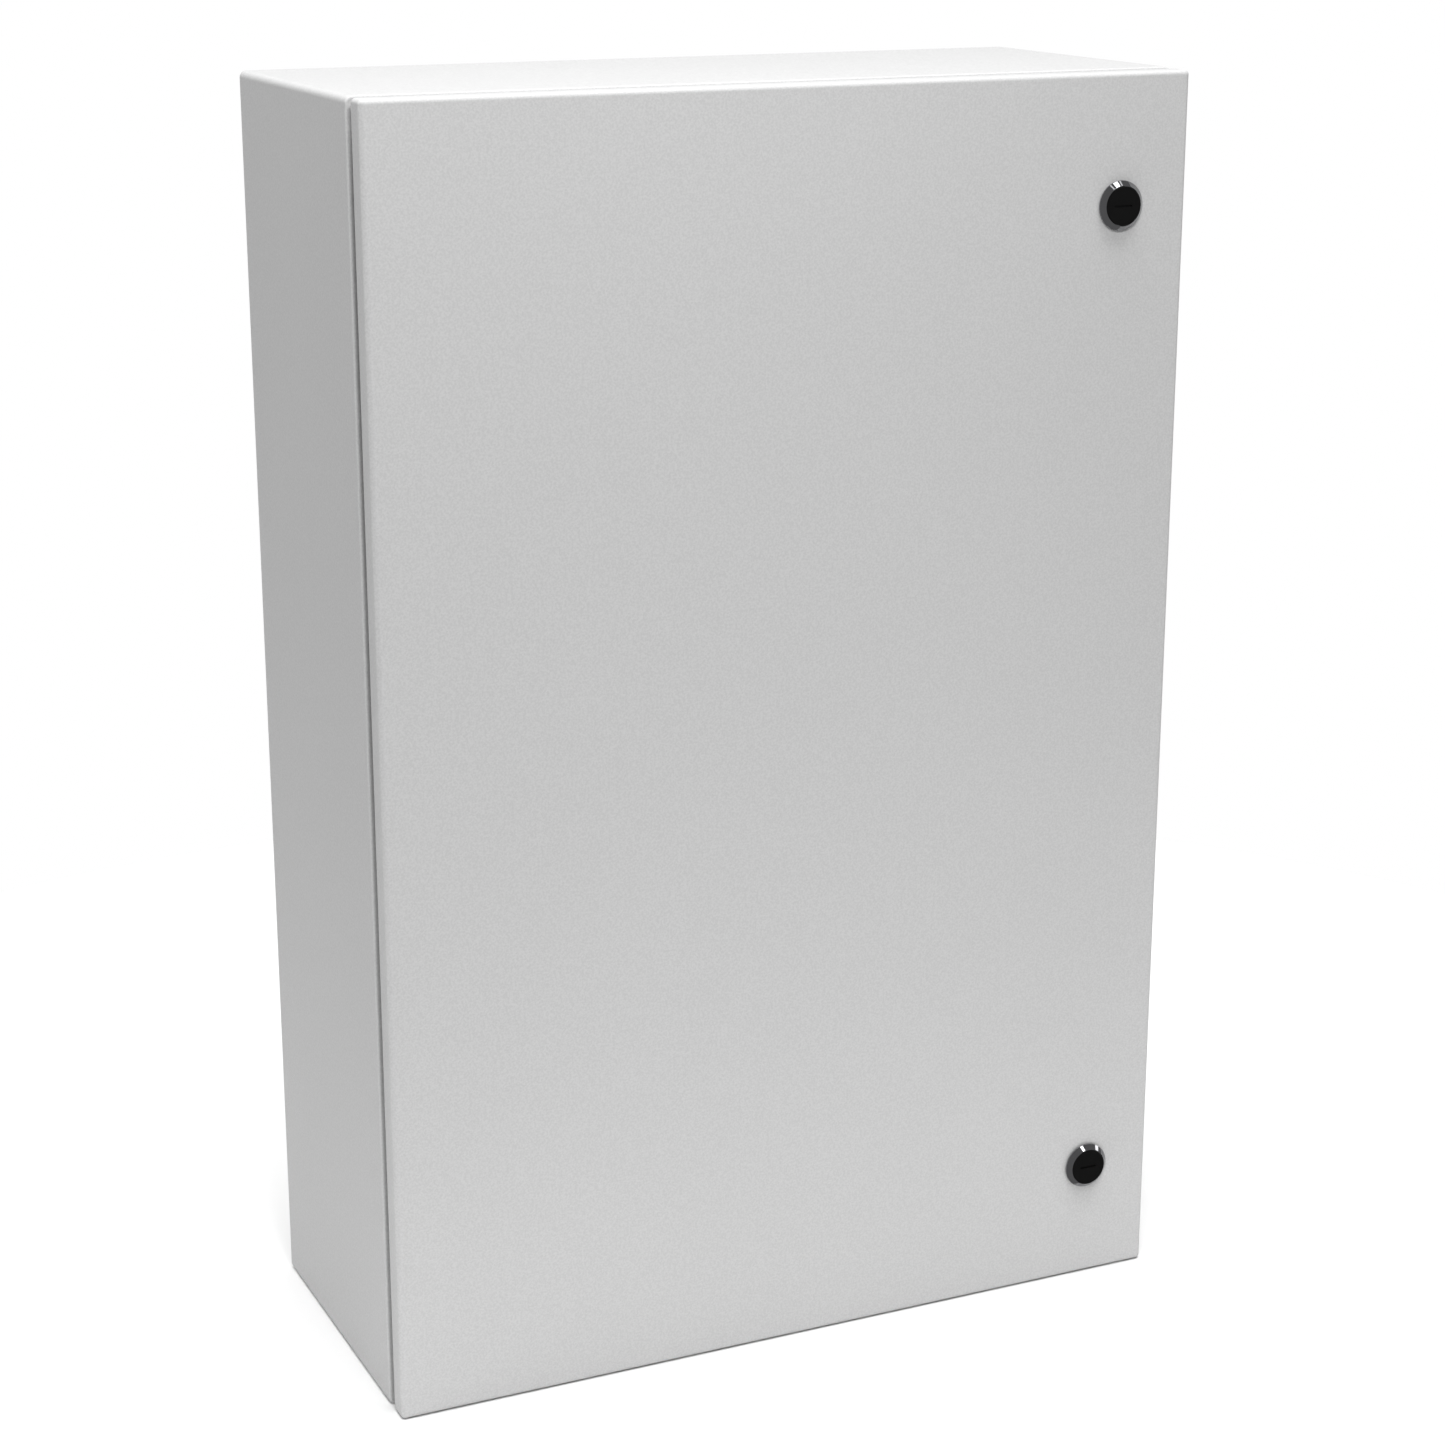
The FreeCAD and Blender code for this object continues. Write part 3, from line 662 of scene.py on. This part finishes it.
gasketSettings = {
    "widthMm": 11.5,
    "cornerMm": 9.25,           # radius of its middle line at the corners
    "cornerSteps": 7,
    "stepMm": 9,                # spacing of sections along the straight runs
    "wave": 0.05,               # how much its height wanders, as a share
    "waveMm": 45,
    "waveSeed": 0.3,
    "joinDip": 0.12,            # dip where the nozzle stopped, under the lower hinge
    "joinMm": 7,
    "joinFromSideMm": 60,
    # section from one foot to the other: across as a share of half the width, height as a share
    "section": ((-1.0, 0.0), (-0.99, 0.28), (-0.93, 0.55), (-0.80, 0.78), (-0.58, 0.92), (-0.30, 0.985),
                (0.0, 1.0), (0.30, 0.985), (0.58, 0.92), (0.80, 0.78), (0.93, 0.55), (0.99, 0.28),
                (1.0, 0.0)),
}


def roundedLoop(low, high, corner, cornerSteps, step):
    # points and outward normals round an upright rectangle, as (x, z) pairs
    left, right = low.x + corner, high.x - corner
    bottom, top = low.z + corner, high.z - corner
    loop = []
    corners = ((right, top, 0), (left, top, 90), (left, bottom, 180), (right, bottom, 270))
    for centreX, centreZ, start in corners:
        for turn in range(cornerSteps + 1):
            angle = math.radians(start + 90 * turn / cornerSteps)
            out = (math.cos(angle), math.sin(angle))
            loop.append(((centreX + corner * out[0], centreZ + corner * out[1]), out))
    filled = []
    for here, after in zip(loop, loop[1:] + loop[:1]):
        count = max(1, round(math.dist(here[0], after[0]) / step))
        for index in range(count):
            place = [a + (b - a) * index / count for a, b in zip(here[0], after[0])]
            filled.append((place, here[1]))
    return filled


def buildGasket(settings):
    low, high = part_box("door_gasket")
    half = settings["widthMm"] * mm / 2
    height = high.y - low.y
    inset = Vector((half, 0, half))
    loop = roundedLoop(low + inset, high - inset, settings["cornerMm"] * mm, settings["cornerSteps"],
                       settings["stepMm"] * mm)
    join = (low.x + settings["joinFromSideMm"] * mm, low.z + half)
    bm = bmesh.new()
    rings = []
    for (x, z), out in loop:
        wander = noise.noise(Vector((x, settings["waveSeed"], z)) / (settings["waveMm"] * mm))
        tall = 1 - settings["wave"] * (0.5 + 0.5 * wander)
        fromJoin = math.dist((x, z), join) / (settings["joinMm"] * mm)
        tall -= settings["joinDip"] * math.exp(-fromJoin ** 2)
        ring = []
        for across, up in settings["section"]:
            sideways = across * half
            depth = low.y + height * up * tall
            ring.append(bm.verts.new((x + out[0] * sideways, depth, z + out[1] * sideways)))
        rings.append(ring)
    gridFaces(bm, rings + rings[:1])
    addPiece("door_gasket_foamed", bm, "door_gasket", ("door_gasket",), 60)


buildGasket(gasketSettings)
print("gasket laid")


housingSettings = {
    "around": 96,
    "pitchMm": 1.5,
    "threadMm": 0.55,
    "barrelMm": 11.0,
    "flatsMm": 20.0,
    "stopMm": 4.0,              # the lower half ends this much short, where the insert's dog stops
    "stopTurn": 0.0005,         # the step to it is made within this angle, in radians
    # radius and depth behind the front of the housing, from its bore out to the shank
    "profile": ((7.05, 2.9), (13.8, 2.9), (13.8, 0.16), (13.85, 0.04), (13.95, 0.0), (14.12, 0.0),
                (14.26, 0.06), (14.32, 0.12), (17.36, 3.06), (17.42, 3.12), (17.5, 3.28), (17.5, 4.06),
                (17.4, 4.2), (11.0, 4.2)),
}


def housingColumn(angle, length, settings):
    # radius and depth in mm of the housing's outline at one angle, from the bore round to it again
    barrel, pitch = settings["barrelMm"], settings["pitchMm"]
    start = settings["profile"][-1][1]
    last = length if angle < math.pi else length - settings["stopMm"]
    flat = settings["flatsMm"] / 2 / max(abs(math.cos(angle)), 0.01)    # never reached at top and bottom
    points = list(settings["profile"][:-1]) + [(min(barrel, flat), start)]
    rings = int((length - start) * 2 / pitch)
    for depth in [start + pitch / 2 * step for step in range(1, rings)] + [length]:
        depth = min(depth, last)
        phase = (depth / pitch - angle / (2 * math.pi)) % 1
        cut = settings["threadMm"] * abs(2 * phase - 1)
        points.append((min(barrel - cut, flat), depth))
    return points + [(settings["profile"][0][0], last)]


def buildHousing(name, settings):
    low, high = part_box(name)
    centre = (low + high) / 2
    length = (high.y - low.y) / mm
    around = settings["around"]
    nick = settings["stopTurn"]
    angles = [2 * math.pi * (index + 0.5) / around for index in range(around)]
    angles = sorted(angles + [nick, math.pi - nick, math.pi + nick, 2 * math.pi - nick])
    bm = bmesh.new()
    columns = []
    for angle in angles:
        column = []
        for radius, depth in housingColumn(angle, length, settings):
            across, up = radius * mm * math.cos(angle), radius * mm * math.sin(angle)
            column.append(bm.verts.new((centre.x + across, low.y + depth * mm, centre.z + up)))
        columns.append(column)
    gridFaces(bm, columns + columns[:1])
    bmesh.ops.remove_doubles(bm, verts=bm.verts, dist=mm / 1000)    # rings that end together at the stop
    addPiece(name + "_turned", bm, name, (name,))


for latch in ("upper", "lower"):
    buildHousing(latch + "_latch_housing", housingSettings)
print("latch housings turned")


# the spot welds that hold the stiffeners to the door
weldSettings = {
    "around": 16,
    "radiusMm": 2.6,
    "standMm": 0.12,
    "pitchMm": 95,
    "fromEndMm": 14,
    "footMm": 4.4,              # from the stiffener's edge to the middle of its foot
    "sheetMm": 1.5,
    # from the rim in: shares of the radius and of how far it stands up
    "profile": ((1.0, 0.0), (0.82, 0.9), (0.6, 1.0), (0.3, 0.55)),
}


def buildWelds(name, settings):
    low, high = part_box(name)
    first = low.z + settings["fromEndMm"] * mm
    last = high.z - settings["fromEndMm"] * mm
    count = round((last - first) / (settings["pitchMm"] * mm)) + 1
    surface = low.y + settings["sheetMm"] * mm
    angles = [2 * math.pi * step / settings["around"] for step in range(settings["around"])]
    bm = bmesh.new()
    for x in (low.x + settings["footMm"] * mm, high.x - settings["footMm"] * mm):
        for z in spread(first, last, count):
            rings = []
            for share, up in settings["profile"]:
                reach = settings["radiusMm"] * mm * share
                depth = surface + settings["standMm"] * mm * up
                rings.append([bm.verts.new((x + reach * math.cos(angle), depth, z + reach * math.sin(angle)))
                              for angle in angles])
            gridFaces(bm, rings)
            bm.faces.new(rings[0])
            bm.faces.new(rings[-1])
    addPiece(name + "_spot_welds", bm, name, smoothAngle=60)


for rail in ("hinge_side_rail", "latch_side_rail"):
    buildWelds(rail, weldSettings)
print("stiffeners welded")


print("pieces ready")
